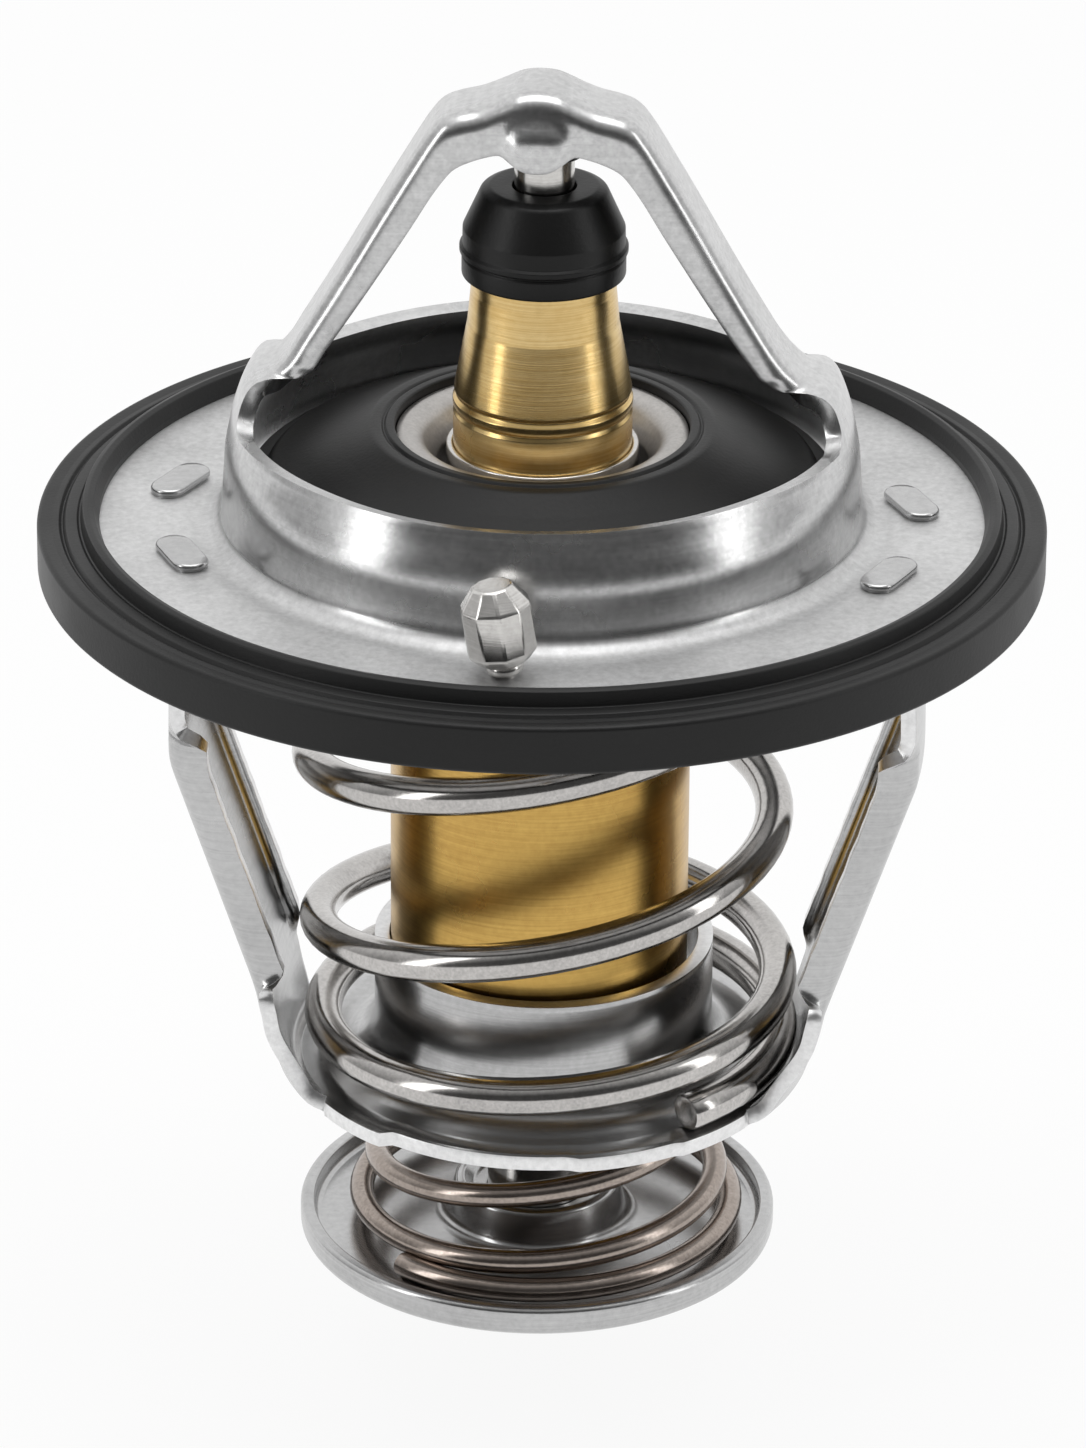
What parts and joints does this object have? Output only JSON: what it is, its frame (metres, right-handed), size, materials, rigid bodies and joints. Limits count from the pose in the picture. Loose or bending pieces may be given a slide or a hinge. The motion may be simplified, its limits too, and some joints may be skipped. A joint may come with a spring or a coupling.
{
  "type": "engine coolant valve",
  "caption": "Wax-element coolant valve: a bridged steel flange with rubber seal, a sprung main valve that a brass element opens, a lower frame and a sprung bypass disc.",
  "frame": {"origin": "centre of the bypass disc's flat underside, at the part's lowest point", "axes": "+Z is the valve's axis, from the bypass disc up to the bridge's crown; the bridge's arms and the legs lie along X; the jiggle pin is on the -Y side"},
  "size_m": [0.06, 0.06, 0.0757],
  "materials": {
    "flange_steel": "satin",
    "frame_steel": "satin",
    "spring_steel": "polished",
    "bright_steel": "polished",
    "brass": "brushed",
    "rubber": "satin",
    "wax": "matt",
    "hard_disc": "matt"
  },
  "bodies": {
    "frame": {"bridge_flange": "flange_steel", "seat_seal": "rubber", "lower_frame": "frame_steel", "piston": "bright_steel", "main_spring": "spring_steel"},
    "element": {"guide": "brass", "boot": "rubber", "piston_ring": "rubber", "wax_cup": "brass", "wax_charge": "wax", "diaphragm": "rubber", "transfer_plug": "rubber", "anti_extrusion_disc": "hard_disc", "valve_plate": "frame_steel", "valve_seal": "rubber", "valve_washer": "frame_steel", "retaining_sleeve": "bright_steel", "bypass_rod": "bright_steel", "rod_clip": "spring_steel", "bypass_spring": "spring_steel"},
    "bypass": {"bypass_disc": "frame_steel"},
    "jiggle": {"jiggle_pin": "bright_steel", "jiggle_weight": "bright_steel"}
  },
  "joints": [
    {"name": "valve_lift", "type": "slide", "parent": "frame", "child": "element", "axis": [0, 0, -1], "range_m": [0, 0.008], "stiffness_N_per_m": 5000, "springref_m": -0.01, "deforming": ["main_spring"]},
    {"name": "bypass_slide", "type": "slide", "parent": "element", "child": "bypass", "axis": [0, 0, 1], "range_m": [0, 0.006], "stiffness_N_per_m": 2000, "springref_m": -0.006, "deforming": ["bypass_spring"]},
    {"name": "jiggle_lift", "type": "slide", "parent": "frame", "child": "jiggle", "axis": [-0.1563, 0.0055, 0.9877], "range_m": [0, 0.0009]}
  ]
}
